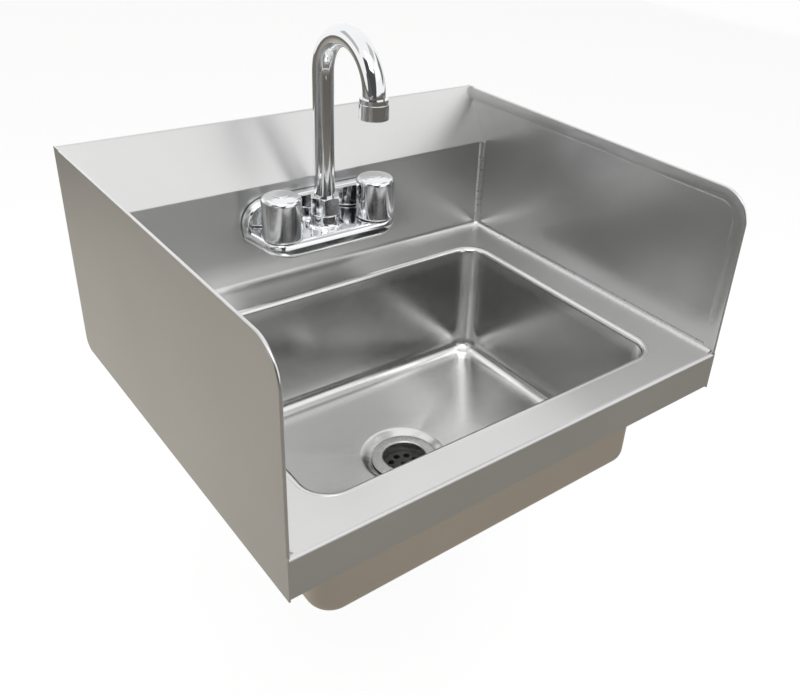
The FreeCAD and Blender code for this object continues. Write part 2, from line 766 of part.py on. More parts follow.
def handle_cap(x):
    """The plain button that covers one handle's screw."""
    top = shelf_top + handle_gap + handle_height + cap_edge
    return turned([(0, top - cap_height), (cap_radius, top - cap_height), (cap_radius, top), (0, top)],
                  {2: cap_edge}, x, handle_place)


def save(name, shape):
    """Write one piece, moved so that the origin is the centre of the hanger's screw row."""
    placed = shape.translated(point(0, 0, -screw_row_height))
    placed.exportStep("parts/" + name + ".step")
    print(name, "solids", len(placed.Solids), "valid", placed.isValid(), "volume", round(placed.Volume, 1))


def sink_pieces():
    """The folded and drawn sheet metal, the hanger and the drain."""
    pieces = {
        "deck_and_backsplash": deck_and_backsplash(),
        "left_side_splash": side_splash(-1),
        "right_side_splash": side_splash(1),
        "bowl": bowl(),
        "wall_hanger": wall_hanger(),
        "drain_body": drain_body(),
        "drain_grid": drain_grid(),
    }
    pieces.update(drain_fasteners())
    return pieces


def faucet_pieces():
    """The faucet's body, spout and aerator."""
    thrust_washer, spout_nut = spout_swivel()
    housing, insert, washer = aerator()
    return {
        "faucet_body": faucet_body(),
        "faucet_gasket": faucet_gasket(),
        "gooseneck_spout": gooseneck_spout(),
        "spout_o_rings": spout_o_rings(),
        "spout_thrust_washer": thrust_washer,
        "spout_nut": spout_nut,
        "aerator_housing": housing,
        "aerator_insert": insert,
        "aerator_washer": washer,
    }


def valve_pieces(name, side):
    """Everything that belongs to one side of the faucet, hot or cold."""
    x = side * valve_offset
    shank_washer, shank_nut = shank_fasteners(side)
    seal, fixed, turning = valve_discs(x)
    pieces = {
        "inlet_shank": inlet_shank(side),
        "inlet_washer": shank_washer,
        "inlet_lock_nut": shank_nut,
        "valve_seal": seal,
        "valve_fixed_disc": fixed,
        "valve_turning_disc": turning,
        "valve_bonnet": valve_bonnet(x),
        "valve_stem": valve_stem(x),
        "handle": handle(x),
        "handle_screw": handle_screw(x),
        "handle_cap": handle_cap(x),
    }
    return {name + "_" + key: shape for key, shape in pieces.items()}


def main():
    os.makedirs("parts", exist_ok=True)
    pieces = sink_pieces()
    pieces.update(faucet_pieces())
    pieces.update(valve_pieces("hot", -1))
    pieces.update(valve_pieces("cold", 1))
    for name, shape in pieces.items():
        save(name, shape)


main()
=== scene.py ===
"""A wall-hung hand wash sink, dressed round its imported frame.

The file is laid out as an add-on: settings that a user would change, one operator for each piece or
group of like pieces, and a panel that lists them. Lengths are metres, and a setting's default is
written in millimetres. X runs to the right of a person at the sink, Y into the wall and Z up; the
origin is the centre of the hanger's screw row on the wall.
"""

import math

import bmesh
import bpy
import numpy as np
from bpy.props import FloatProperty, FloatVectorProperty, PointerProperty
from mathutils import Matrix, Vector


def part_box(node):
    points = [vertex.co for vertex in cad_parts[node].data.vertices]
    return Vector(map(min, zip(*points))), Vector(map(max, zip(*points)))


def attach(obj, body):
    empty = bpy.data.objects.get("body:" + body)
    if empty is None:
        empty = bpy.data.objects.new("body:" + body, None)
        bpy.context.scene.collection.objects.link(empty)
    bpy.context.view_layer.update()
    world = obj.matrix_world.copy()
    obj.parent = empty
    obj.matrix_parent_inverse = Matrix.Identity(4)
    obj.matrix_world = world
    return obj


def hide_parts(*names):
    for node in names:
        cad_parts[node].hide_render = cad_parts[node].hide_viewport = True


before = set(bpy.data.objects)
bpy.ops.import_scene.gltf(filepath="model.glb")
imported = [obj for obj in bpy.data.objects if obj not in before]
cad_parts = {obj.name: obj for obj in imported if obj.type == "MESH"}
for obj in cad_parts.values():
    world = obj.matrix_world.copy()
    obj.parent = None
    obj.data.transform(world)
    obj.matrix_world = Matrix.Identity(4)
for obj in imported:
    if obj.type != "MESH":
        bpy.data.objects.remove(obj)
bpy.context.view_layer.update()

bl_info = {
    "name": "Hand wash sink",
    "version": (1, 0, 0),
    "blender": (4, 5, 0),
    "location": "View3D > Sidebar > Hand sink",
    "description": "Builds the pieces and finishes of a wall-hung hand wash sink",
    "category": "Add Mesh",
}

MM = 0.001
ROOT = "sink_body"
SIDES = {"hot": -1, "cold": 1}
PALE = (1.0, 1.0, 1.0)
THREAD_DEPTH = 1.1 * MM
QUARTER = math.pi / 2


def length(label, about, millimetres):
    """A length that a user would change, with its default in millimetres."""
    return FloatProperty(name=label, description=about, default=millimetres * MM, unit="LENGTH")


def rotation(label, about, degrees):
    """An angle that a user would change, with its default in degrees."""
    return FloatProperty(name=label, description=about, default=math.radians(degrees), unit="ROTATION")


def pixels(label, about, count):
    """A measure in the picture's pixels."""
    return FloatProperty(name=label, description=about, default=count, subtype="PIXEL")


def factor(label, about, share):
    """A value between 0 and 1."""
    return FloatProperty(name=label, description=about, default=share, min=0, max=1, subtype="FACTOR")


class SheetSettings(bpy.types.PropertyGroup):
    """Sizes and colours of the folded sheet metal."""

    colour: FloatVectorProperty(name="Colour", description="Colour of the brushed steel", subtype="COLOR",
                                default=(0.72, 0.72, 0.715))
    roughness: factor("Roughness", "How satin the brushed steel is", 0.25)
    thickness: length("Thickness", "Thickness of the panels' sheet", 1.2)
    hem_width: length("Hem width", "Width of the hem inside the panels' edges", 13)
    hem_end: length("Hem end", "Distance from the wall at which the hem ends", 10.6)
    front_radius: length("Front radius", "Radius of the panels' top front corner", 28)
    back_radius: length("Back radius", "Radius of the panels' lower back corner", 11)
    weld_radius: length("Weld radius", "Radius of the ground weld in each corner", 5.5)
    splash_stand_off: length("Splash stand-off", "From the wall to the splash's face", 32.3)
    splash_height: length("Splash height", "From the deck to the splash's fold", 97.5)
    splash_cove: length("Splash cove", "Radius between the deck and the splash", 6)


class BowlSettings(bpy.types.PropertyGroup):
    """Sizes of the drawn bowl."""

    corner: length("Corner", "Corner radius of the deck's opening", 28)
    rim_flat: length("Rim flat", "Level strip at the bowl's edge", 1)
    rim_radius: length("Rim radius", "Radius of the roll over the bowl's rim", 5)
    wall_lean: length("Wall lean", "How far the walls come in on their way down", 1.5)
    cove: length("Cove", "Radius between the walls and the floor", 14)
    edge_depth: length("Edge depth", "Depth of the floor at its edge", 126)
    drain_depth: length("Drain depth", "Depth of the floor's creases at the drain", 133.5)
    dish_drop: length("Dish drop", "Depth of the dish round the drain", 2)
    dish_radius: length("Dish radius", "Outer radius of the dish round the drain", 39)
    dish_flat_radius: length("Dish flat radius", "Radius of the dish's level floor", 34)
    dish_softness: length("Dish softness", "How far the dish's edges are worn round", 3)
    drain_hole: length("Drain hole", "Radius of the hole for the drain", 25.4)
    thickness: length("Thickness", "Thickness of the bowl's sheet", 1)
    drain_place: length("Drain place", "Y of the drain's axis", -197.3)
    # Painted shade: the walls' colour is scaled down to this beside the rest.
    wall_shade: factor("Wall shade", "Brightness of the walls beside the rest", 0.62)


class DrainSettings(bpy.types.PropertyGroup):
    """Sizes of the drain."""

    thread_radius: length("Thread radius", "Major radius of the drain's thread", 24.13)
    thread_pitch: length("Thread pitch", "Pitch of the drain's thread", 2.209)
    flange_height: length("Flange height", "Height of the drain's flange", 2.5)
    flange_round: length("Flange rounding", "Radius of the flange's upper edges", 1.6)
    bore: length("Bore", "Radius of the drain above the grid", 20.6)
    throat: length("Throat", "Radius of the drain below the grid", 19)
    ledge_depth: length("Ledge depth", "From the flange's top down to the ledge", 12)


class FaucetSettings(bpy.types.PropertyGroup):
    """Sizes and colour of the faucet."""

    colour: FloatVectorProperty(name="Colour", description="Colour of the chrome plate", subtype="COLOR",
                                default=(0.9, 0.91, 0.92))
    roughness: factor("Roughness", "How far the chrome plate is from a mirror", 0.07)
    inlet_spacing: length("Inlet spacing", "Distance between the two inlets", 101.6)
    inlet_height: length("Inlet height", "Z of the inlets", -54)
    shank_radius: length("Shank radius", "Major radius of an inlet's thread", 10.48)
    shank_bore: length("Shank bore", "Radius of an inlet's waterway", 6)
    shank_pitch: length("Shank pitch", "Pitch of an inlet's thread", 1.814)
    back: length("Back", "Y of the flange's back", -33.3)
    flange_height: length("Flange height", "Z of the flange's middle line", -50)
    flange_radius: length("Flange radius", "End radius of the flange", 24.5)
    flange_face_radius: length("Flange face radius", "End radius of its front face", 21)
    flange_thickness: length("Flange thickness", "Thickness of the flange", 9)
    shelf_top: length("Shelf top", "Z of the shelf", -54)
    shelf_front: length("Shelf front", "Y of the shelf's front", -84)
    shelf_bottom: length("Shelf bottom", "Z of the shelf's underside at its front", -69)
    shelf_radius: length("Shelf radius", "End radius of the shelf at its front", 18)
    shelf_round: length("Shelf rounding", "Radius of the shelf's top side edges", 5)
    nose_round: length("Nose rounding", "Radius of the shelf's top front edge", 6)
    keel_round: length("Keel rounding", "Radius of the shelf's lower front edge", 5)
    spout_place: length("Spout place", "Y of the riser's axis", -56)
    boss_radius: length("Boss radius", "Radius of the spout's boss", 14)
    boss_top: length("Boss top", "Z of the spout's boss", -42)
    handle_place: length("Handle place", "Y of the handles' axes", -66)


class HandleSettings(bpy.types.PropertyGroup):
    """Sizes of the two handles and their caps; every depth is measured down from a handle's top."""

    wall: length("Wall", "Thickness of the skirt", 2.6)
    dome: length("Dome", "How far the top falls to its edge", 1.4)
    shoulder: length("Shoulder", "Radius of the rounded shoulder", 5)
    foot_round: length("Foot rounding", "Radius of the rounding at the foot", 2.3)
    foot_height: length("Foot height", "Height of the skirt's lowest strip", 8)
    roof: length("Roof", "Thickness of the top above the hollow", 5.5)
    hub_radius: length("Hub radius", "Radius of the hub round the stem", 8.5)
    hub_depth: length("Hub depth", "Depth of the hub's foot", 15.5)
    socket_radius: length("Socket radius", "Radius of the socket for the stem", 4.2)
    socket_depth: length("Socket depth", "Depth of the socket's end", 12)
    screw_radius: length("Screw radius", "Radius of the hole for the screw", 2)
    screw_seat_radius: length("Screw seat radius", "Radius of the room for the screw's head", 3.9)
    screw_seat_depth: length("Screw seat depth", "Depth of the seat under the screw's head", 7)
    cap_radius: length("Cap radius", "Radius of the cap", 8)
    cap_gap: length("Cap gap", "Gap round the cap", 0.1)
    cap_seat_depth: length("Cap seat depth", "Depth of the seat under the cap", 1.6)
    cap_edge: length("Cap edge", "Radius of the cap's rounded edge", 0.5)
    cap_dome: length("Cap dome", "How far the cap's top falls to its edge", 0.3)


class StageSettings(bpy.types.PropertyGroup):
    """The camera, the picture's size and the floor's place."""

    camera_place: FloatVectorProperty(name="Camera place", description="Where the camera stands",
                                      subtype="TRANSLATION", default=(-0.3974, -0.7192, 0.2884))
    camera_yaw: rotation("Camera yaw", "Turn from the wall's normal towards the right", 41.61)
    camera_pitch: rotation("Camera pitch", "Tilt of the camera, up from level", -29.58)
    camera_roll: rotation("Camera roll", "Roll of the camera", 4.53)
    focal_length: pixels("Focal length", "Focal length of the camera", 862.9)
    centre_x: pixels("Centre across", "Column of the picture's principal point", 467.2)
    centre_y: pixels("Centre down", "Row of the picture's principal point", 314.4)
    picture_width: pixels("Picture width", "Width of the picture", 800)
    picture_height: pixels("Picture height", "Height of the picture", 695)
    floor_drop: length("Floor drop", "From the deck down to the floor", 864)


def box_of(node):
    """The lowest and highest corner of a CAD node as arrays."""
    low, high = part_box(node)
    return np.array(low), np.array(high)


def unit(vectors):
    """Vectors scaled to length one along their last axis."""
    return vectors / np.linalg.norm(vectors, axis=-1, keepdims=True)


def eased(t):
    """The smooth step 3t^2 - 2t^3, held at 0 and 1 outside its range."""
    t = np.clip(t, 0, 1)
    return t * t * (3 - 2 * t)


def rounded(points, radii, steps=8, closed=False):
    """A 2-D line through points, each listed corner replaced by a circular arc tangent to both its sides.

    A point of the arc is centre + cos(a) * arm + sin(a) * radius * direction of arrival, where the arm
    runs from the centre to the arc's start and a goes from 0 to the corner's turn.
    """
    points = [np.array(p, float) for p in points]
    line = []
    for i, corner in enumerate(points):
        radius = radii.get(i, 0)
        if not radius or (not closed and i in (0, len(points) - 1)):
            line.append(corner[None])
            continue
        into = unit(corner - points[i - 1])
        out = unit(points[(i + 1) % len(points)] - corner)
        turn = math.acos(float(np.clip(into @ out, -1, 1)))
        start = corner - into * radius * math.tan(turn / 2)
        centre = corner + unit(out - into) * radius / math.cos(turn / 2)
        angle = np.linspace(0, turn, steps + 1)[:, None]
        line.append(centre + np.cos(angle) * (start - centre) + np.sin(angle) * radius * into)
    return np.concatenate(line)


def right_hand_normals(line):
    """Unit normals on the right of a 2-D line, scaled at corners so that an offset keeps its distance.

    Each is the sum of the normals of the two runs that meet there, divided by one plus their cosine.
    """
    runs = unit(np.diff(line, axis=0))
    turn = np.array([[0, -1], [1, 0]])
    ahead, behind = np.vstack([runs, runs[-1:]]) @ turn, np.vstack([runs[:1], runs]) @ turn
    return (ahead + behind) / (1 + (ahead * behind).sum(1, keepdims=True))


def rolled_edge(side, top, radius, steps):
    """A quarter circle that rolls an upright side over into a level top, as a 2-D line."""
    turn = np.linspace(0, QUARTER, steps)
    return np.column_stack([side - radius * (1 - np.cos(turn)), top - radius * (1 - np.sin(turn))])


def grid(points, closed_rows=False, closed_columns=False):
    """One surface: its points in rows and columns, and the quads between neighbours.

    A closed direction joins its last line to its first.
    """
    rows, columns = points.shape[:2]
    r, c = np.meshgrid(np.arange(rows - (not closed_rows)), np.arange(columns - (not closed_columns)),
                       indexing="ij")
    r2, c2 = (r + 1) % rows, (c + 1) % columns
    corners = [r * columns + c, r * columns + c2, r2 * columns + c2, r2 * columns + c]
    return points.reshape(-1, 3), np.stack(corners, -1).reshape(-1, 4)


def plate(ring):
    """One flat face over a closed line of points."""
    return ring, np.arange(len(ring))[None]


def add_object(name, data):
    """A new object in the scene."""
    obj = bpy.data.objects.new(name, data)
    bpy.context.scene.collection.objects.link(obj)
    return obj


def make_piece(name, surfaces, material, body, replaces=(), sharp=40, closed=True, painted_light=None):
    """Joins surfaces into one mesh, closes its seams and poles, and hands it to the frame.

    Doubled points merge within a micrometre. A closed piece has its faces turned outwards. Edges
    sharper than the given angle stay sharp, and the rest are smooth. Painted light is a value at each
    point that a material can read, to paint shade and highlights onto the surface.
    """
    starts = np.cumsum([0] + [len(points) for points, _ in surfaces])
    points = np.concatenate([p for p, _ in surfaces])
    faces = sum(((f + start).tolist() for (_, f), start in zip(surfaces, starts)), [])
    mesh = bpy.data.meshes.new(name)
    mesh.from_pydata(points.tolist(), [], faces)
    if painted_light is not None:
        layer = mesh.attributes.new("painted_light", "FLOAT", "POINT")
        layer.data.foreach_set("value", painted_light.astype(np.float32).ravel())
    shape = bmesh.new()
    shape.from_mesh(mesh)
    bmesh.ops.remove_doubles(shape, verts=shape.verts, dist=1e-6)
    bmesh.ops.dissolve_degenerate(shape, edges=shape.edges, dist=1e-7)
    if closed:
        bmesh.ops.recalc_face_normals(shape, faces=shape.faces)
    shape.to_mesh(mesh)
    shape.free()
    mesh.shade_smooth()
    mesh.set_sharp_from_angle(angle=math.radians(sharp))
    mesh.materials.append(material)
    piece = add_object(name, mesh)
    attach(piece, body)
    if replaces:
        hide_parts(*replaces)
    return piece


def swept(line, normals, across, height):
    """A section carried beside a 2-D line: each point lies across times the normal from the line.

    Returns rows along the line and columns along the section, as line coordinates and height.
    """
    flat = line[:, None, :] + normals[:, None, :] * np.asarray(across)[None, :, None]
    level = np.broadcast_to(np.asarray(height)[None, :, None], flat.shape[:2] + (1,))
    return np.concatenate([flat, level], -1)


def capped(points):
    """Adds a pole in the middle of the first and the last row, which closes a tube's ends."""
    ends = [np.broadcast_to(points[i].mean(0), points[i].shape)[None] for i in (0, -1)]
    return np.concatenate([ends[0], points, ends[1]])


def turned(profile, x, y, sides=96):
    """A profile of radius and height turned about an upright axis through x, y."""
    angle = np.linspace(0, 2 * math.pi, sides, endpoint=False)[None, :]
    radius, height = profile[:, :1], profile[:, 1:]
    points = np.stack([x + radius * np.cos(angle), y + radius * np.sin(angle),
                       np.broadcast_to(height, (len(profile), sides))], -1)
    return grid(points, closed_columns=True)


def threaded(root, crest, start, end, pitch, section, sides=72, steps=8):
    """A screw thread on a straight bar, and the section that closes it, turned about the bar's axis.

    The thread's radius follows a triangle wave of height over pitch minus angle over a turn, with its
    crests and roots clipped flat. It fades into the root over the first pitch. The section's points are
    a radius and a height each. Returns the two coordinates across the axis and the one along it.
    """
    height = np.linspace(start, end, int(steps * abs(end - start) / pitch) + 1)[:, None]
    angle = np.linspace(0, 2 * math.pi, sides, endpoint=False)[None, :]
    phase = (height / pitch - angle / (2 * math.pi)) % 1
    wave = np.clip(np.abs(2 * phase - 1) * 1.5 - 0.25, 0, 1)
    lead = eased(np.abs(height - start) / pitch)
    section = np.array(section)
    radius = np.concatenate([root + (crest - root) * wave * lead,
                             np.broadcast_to(section[:, :1], (len(section), sides))])
    along = np.broadcast_to(np.concatenate([height, section[:, 1:]]), radius.shape)
    return radius * np.cos(angle), radius * np.sin(angle), along


def new_material(name):
    """An empty node material with its shader, ready for links."""
    material = bpy.data.materials.new(name)
    material.use_nodes = True
    tree = material.node_tree
    return material, tree, tree.nodes["Principled BSDF"]


def add_node(tree, kind, inputs=(), **settings):
    """A node with its settings and input values; a value that is a socket is linked."""
    node = tree.nodes.new(kind)
    for key, value in settings.items():
        setattr(node, key, value)
    for key, value in dict(inputs).items():
        if isinstance(value, bpy.types.NodeSocket):
            tree.links.new(value, node.inputs[key])
        else:
            node.inputs[key].default_value = value
    return node


def object_noise(tree, scale, stretch=(1, 1, 1), detail=2.0):
    """Noise over the object's own coordinates, drawn out along one axis by the stretch."""
    place = add_node(tree, "ShaderNodeTexCoord").outputs["Object"]
    mapped = add_node(tree, "ShaderNodeMapping", {"Vector": place, "Scale": stretch}).outputs["Vector"]
    noise = add_node(tree, "ShaderNodeTexNoise", {"Vector": mapped, "Scale": scale, "Detail": detail})
    return noise.outputs["Fac"]


def remapped(tree, value, low, high, bottom=0.3, top=0.7):
    """A value rescaled from one range to another."""
    return add_node(tree, "ShaderNodeMapRange", {"Value": value, "From Min": bottom, "From Max": top,
                                                 "To Min": low, "To Max": high}).outputs["Result"]


def tinted(tree, share, first, second):
    """A colour between two, chosen by a value; each is a colour or a socket."""
    mix = add_node(tree, "ShaderNodeMix", {"Factor": share}, data_type="RGBA")
    ends = [socket for socket in mix.inputs if socket.type == "RGBA"]
    for end, colour in zip(ends, (first, second)):
        if isinstance(colour, bpy.types.NodeSocket):
            tree.links.new(colour, end)
        else:
            end.default_value = (*colour, 1)
    return [socket for socket in mix.outputs if socket.type == "RGBA"][0]


def bumped(tree, height, strength, depth, below=None):
    """The surface's normal bent by a height, on top of another bent normal where there is one."""
    inputs = {"Height": height, "Strength": strength, "Distance": depth}
    if below is not None:
        inputs["Normal"] = below
    return add_node(tree, "ShaderNodeBump", inputs).outputs["Normal"]


def link_surface(tree, shader, colour, roughness, normal, metallic):
    """Links a shader's colour, roughness and normal, and sets how metallic it is."""
    for key, socket in (("Base Color", colour), ("Roughness", roughness), ("Normal", normal)):
        tree.links.new(socket, shader.inputs[key])
    shader.inputs["Metallic"].default_value = metallic


def brushed_steel(name, grain, roughness, spread=0.012, anisotropy=0.5, shade=1.0,
                  scratch_depth=0.001 * MM):
    """Satin stainless steel: fine scratches along the grain, soft smudges, and a slightly wavy sheet.

    The grain is a vector of noise scales, small along the scratches. The highlight is drawn out across
    them, along the surface's normal crossed with the grain's direction. That direction leans a little,
    so that the product isn't zero on a face square to the grain.
    """
    smudge_scale, wave_scale, wave_depth = 9.0, 7.0, 1.2 * MM
    lean = (0.03, 0.05, 0.04)
    material, tree, shader = new_material(name)
    scratches = object_noise(tree, 1.0, grain, detail=3)
    smudges = object_noise(tree, smudge_scale, detail=3)
    waves = object_noise(tree, wave_scale, detail=1)
    # A shade other than one is painted light: a lighter, darker or tinted copy of the sheet's steel.
    base = np.array(bpy.context.scene.handsink_sheet.colour) * shade
    rough = add_node(tree, "ShaderNodeMath",
                     {0: remapped(tree, scratches, roughness - spread, roughness + spread),
                      1: remapped(tree, smudges, -spread / 2, spread / 2)}, operation="ADD")
    normal = bumped(tree, scratches, 0.1, scratch_depth, bumped(tree, waves, 0.25, wave_depth))
    link_surface(tree, shader, tinted(tree, remapped(tree, smudges, 0, 1), base * 0.97, base * 1.02),
                 rough.outputs[0], normal, 1.0)
    axis = tuple(float(size == min(grain)) + aside for size, aside in zip(grain, lean))
    flat_normal = add_node(tree, "ShaderNodeNewGeometry").outputs["Normal"]
    tangent = add_node(tree, "ShaderNodeVectorMath", {0: flat_normal, 1: axis}, operation="CROSS_PRODUCT")
    tree.links.new(tangent.outputs["Vector"], shader.inputs["Tangent"])
    shader.inputs["Anisotropic"].default_value = anisotropy
    return material


def chrome(name, roughness_shift=0.0):
    """Bright chrome plate with faint water spots and wiping marks in its gloss."""
    mark_scale, cast_scale, cast_depth = 60.0, 40.0, 0.05 * MM
    settings = bpy.context.scene.handsink_faucet
    material, tree, shader = new_material(name)
    marks = object_noise(tree, mark_scale, detail=4)
    cast = object_noise(tree, cast_scale, detail=1)
    base, rough = np.array(settings.colour), settings.roughness + roughness_shift
    link_surface(tree, shader, tinted(tree, remapped(tree, marks, 0, 1), base * 0.97, base),
                 remapped(tree, marks, rough * 0.7, rough * 1.3), bumped(tree, cast, 0.1, cast_depth), 1.0)
    return material


def plain(name, dark, light, roughness, metallic=0.0, scale=300.0, bump_depth=0.02 * MM):
    """A material between two colours in fine noise, with a matching roughness and a light grain."""
    material, tree, shader = new_material(name)
    grain = object_noise(tree, scale, detail=3)
    link_surface(tree, shader, tinted(tree, remapped(tree, grain, 0, 1), dark, light),
                 remapped(tree, grain, roughness * 0.85, roughness * 1.15),
                 bumped(tree, grain, 0.4, bump_depth), metallic)
    return material


def dress(material, *nodes):
    """Gives CAD nodes a material in place of their plain one."""
    for node in nodes:
        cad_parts[node].material_slots[0].material = material


class HANDSINK_OT_sheet(bpy.types.Operator):
    """Brushed finish of the deck, apron and backsplash, and of the hanger behind them"""

    bl_idname = "handsink.sheet"
    bl_label = "Deck and backsplash"

    def execute(self, context):
        rough = context.scene.handsink_sheet.roughness
        dress(brushed_steel("deck_steel", (4, 560, 560), rough + 0.07), "deck_and_backsplash")
        dress(brushed_steel("hanger_steel", (6, 900, 900), rough + 0.08, shade=0.85), "wall_hanger")
        return {"FINISHED"}


def panel_outline(settings, front, top, bottom, deck):
    """The end panel's edge in Y and Z, stepped in where the rolled hem takes its place."""
    roll, hem_end = settings.thickness, -settings.hem_end
    corners = [(front, bottom), (0, bottom), (0, top), (hem_end, top), (hem_end, top - roll),
               (front + roll, top - roll), (front + roll, deck), (front, deck)]
    return rounded(corners, {1: settings.back_radius, 5: settings.front_radius - roll}, steps=16,
                   closed=True)


class HANDSINK_OT_panels(bpy.types.Operator):
    """The two side splashes, each a flat panel with a rolled hem on the inside of its edges

    The hem's section is a half turn of the sheet's thickness and a strip whose far edge is rounded.
    """

    bl_idname = "handsink.panels"
    bl_label = "Side splashes"

    def execute(self, context):
        settings = context.scene.handsink_sheet
        # Shade 1.12 paints the panels' steel lighter than the deck's, as painted light.
        steel = brushed_steel("panel_steel", (560, 4, 560), settings.roughness, shade=1.12)
        deck_low, deck_high = box_of("deck_and_backsplash")
        deck = box_of("bowl")[1][2]
        front, bottom, top = deck_low[1], deck_low[2], deck_high[2]
        edge = panel_outline(settings, front, top, bottom, deck)
        path = rounded([(front, deck), (front, top), (-settings.hem_end, top)],
                       {1: settings.front_radius}, steps=24)
        normals = right_hand_normals(path)
        roll, width = settings.thickness, settings.hem_width
        edge_round = 0.8 * roll
        half_turn, turn = np.linspace(-QUARTER, QUARTER, 9), np.linspace(0, QUARTER, 5)
        across = np.concatenate([roll - roll * np.cos(half_turn),
                                 width - edge_round * (1 - np.sin(turn)), [width, roll]])
        inwards = np.concatenate([roll * np.sin(half_turn),
                                  roll - edge_round * (1 - np.cos(turn)), [0.0, 0.0]])
        for name, side in (("left", -1), ("right", 1)):
            inner, outer = deck_high[0] * side, (deck_high[0] + roll) * side
            rows = [np.insert(edge, 0, x, axis=1) for x in (inner, outer)]
            sheet = [grid(np.stack(rows), closed_columns=True), plate(rows[0]), plate(rows[1])]
            hem = swept(path, normals, across, inner - side * inwards)[..., [2, 0, 1]]
            make_piece(name + "_side_panel", [*sheet, grid(capped(hem), closed_columns=True)], steel, ROOT,
                       replaces=(name + "_side_splash",), sharp=25)
        return {"FINISHED"}


class HANDSINK_OT_welds(bpy.types.Operator):
    """The ground welds in the corners between the folded sheet and the two side splashes

    The section is four parts of a hollow quarter circle to one part of its chord, so that it meets the
    sheets at a slight angle, and its root lies a little inside them.
    """

    bl_idname = "handsink.welds"
    bl_label = "Corner welds"

    def execute(self, context):
        settings = context.scene.handsink_sheet
        polished = plain("ground_weld", (0.66, 0.66, 0.66), (0.76, 0.76, 0.76), 0.3, metallic=1.0)
        low, high = box_of("deck_and_backsplash")
        deck = box_of("bowl")[1][2]
        face, fold = -settings.splash_stand_off, deck + settings.splash_height
        start = low[1] + 3 * settings.thickness
        path = rounded([(start, deck), (face, deck), (face, fold)], {1: settings.splash_cove}, steps=10)
        normals = -right_hand_normals(path)
        share = np.linspace(0, 1, 11)
        hollow, root = 1 - np.cos(share * QUARTER), 0.06 * MM
        width = settings.weld_radius * (0.8 * hollow + 0.2 * share) - root
        across = np.concatenate([width, [-root]])
        for name, side in (("left", -1), ("right", 1)):
            height = side * (high[0] - np.concatenate([width[::-1], [-root]]))
            weld = swept(path, normals, across, height)[..., [2, 0, 1]]
            make_piece(name + "_corner_weld", [grid(capped(weld), closed_columns=True)], polished, ROOT,
                       sharp=60)
        return {"FINISHED"}


def bowl_floor(settings, x, y, half_x, half_y, middle, top):
    """Height of the creased floor: four flats that fall from the edge to the drain.

    The share of the way out is the largest of the four distances from the drain, each over the distance
    to its edge, taken as a high power mean so that the creases are softly rounded.
    """
    drain = settings.drain_place
    back = np.clip((y - drain) / (middle + half_y - drain), 0, None)
    near = np.clip((drain - y) / (drain - middle + half_y), 0, None)
    side = np.abs(x) / half_x
    power = 18.0
    out = np.clip((back ** power + near ** power + side ** power) ** (1 / power), 0, 1)
    depth = settings.drain_depth + (settings.edge_depth - settings.drain_depth) * out
    from_drain = np.hypot(x, y - drain)
    rise = settings.dish_radius - settings.dish_flat_radius + 2 * settings.dish_softness
    dish = eased((settings.dish_radius + settings.dish_softness - from_drain) / rise)
    return top - depth * (1 - dish) - (settings.drain_depth + settings.dish_drop) * dish


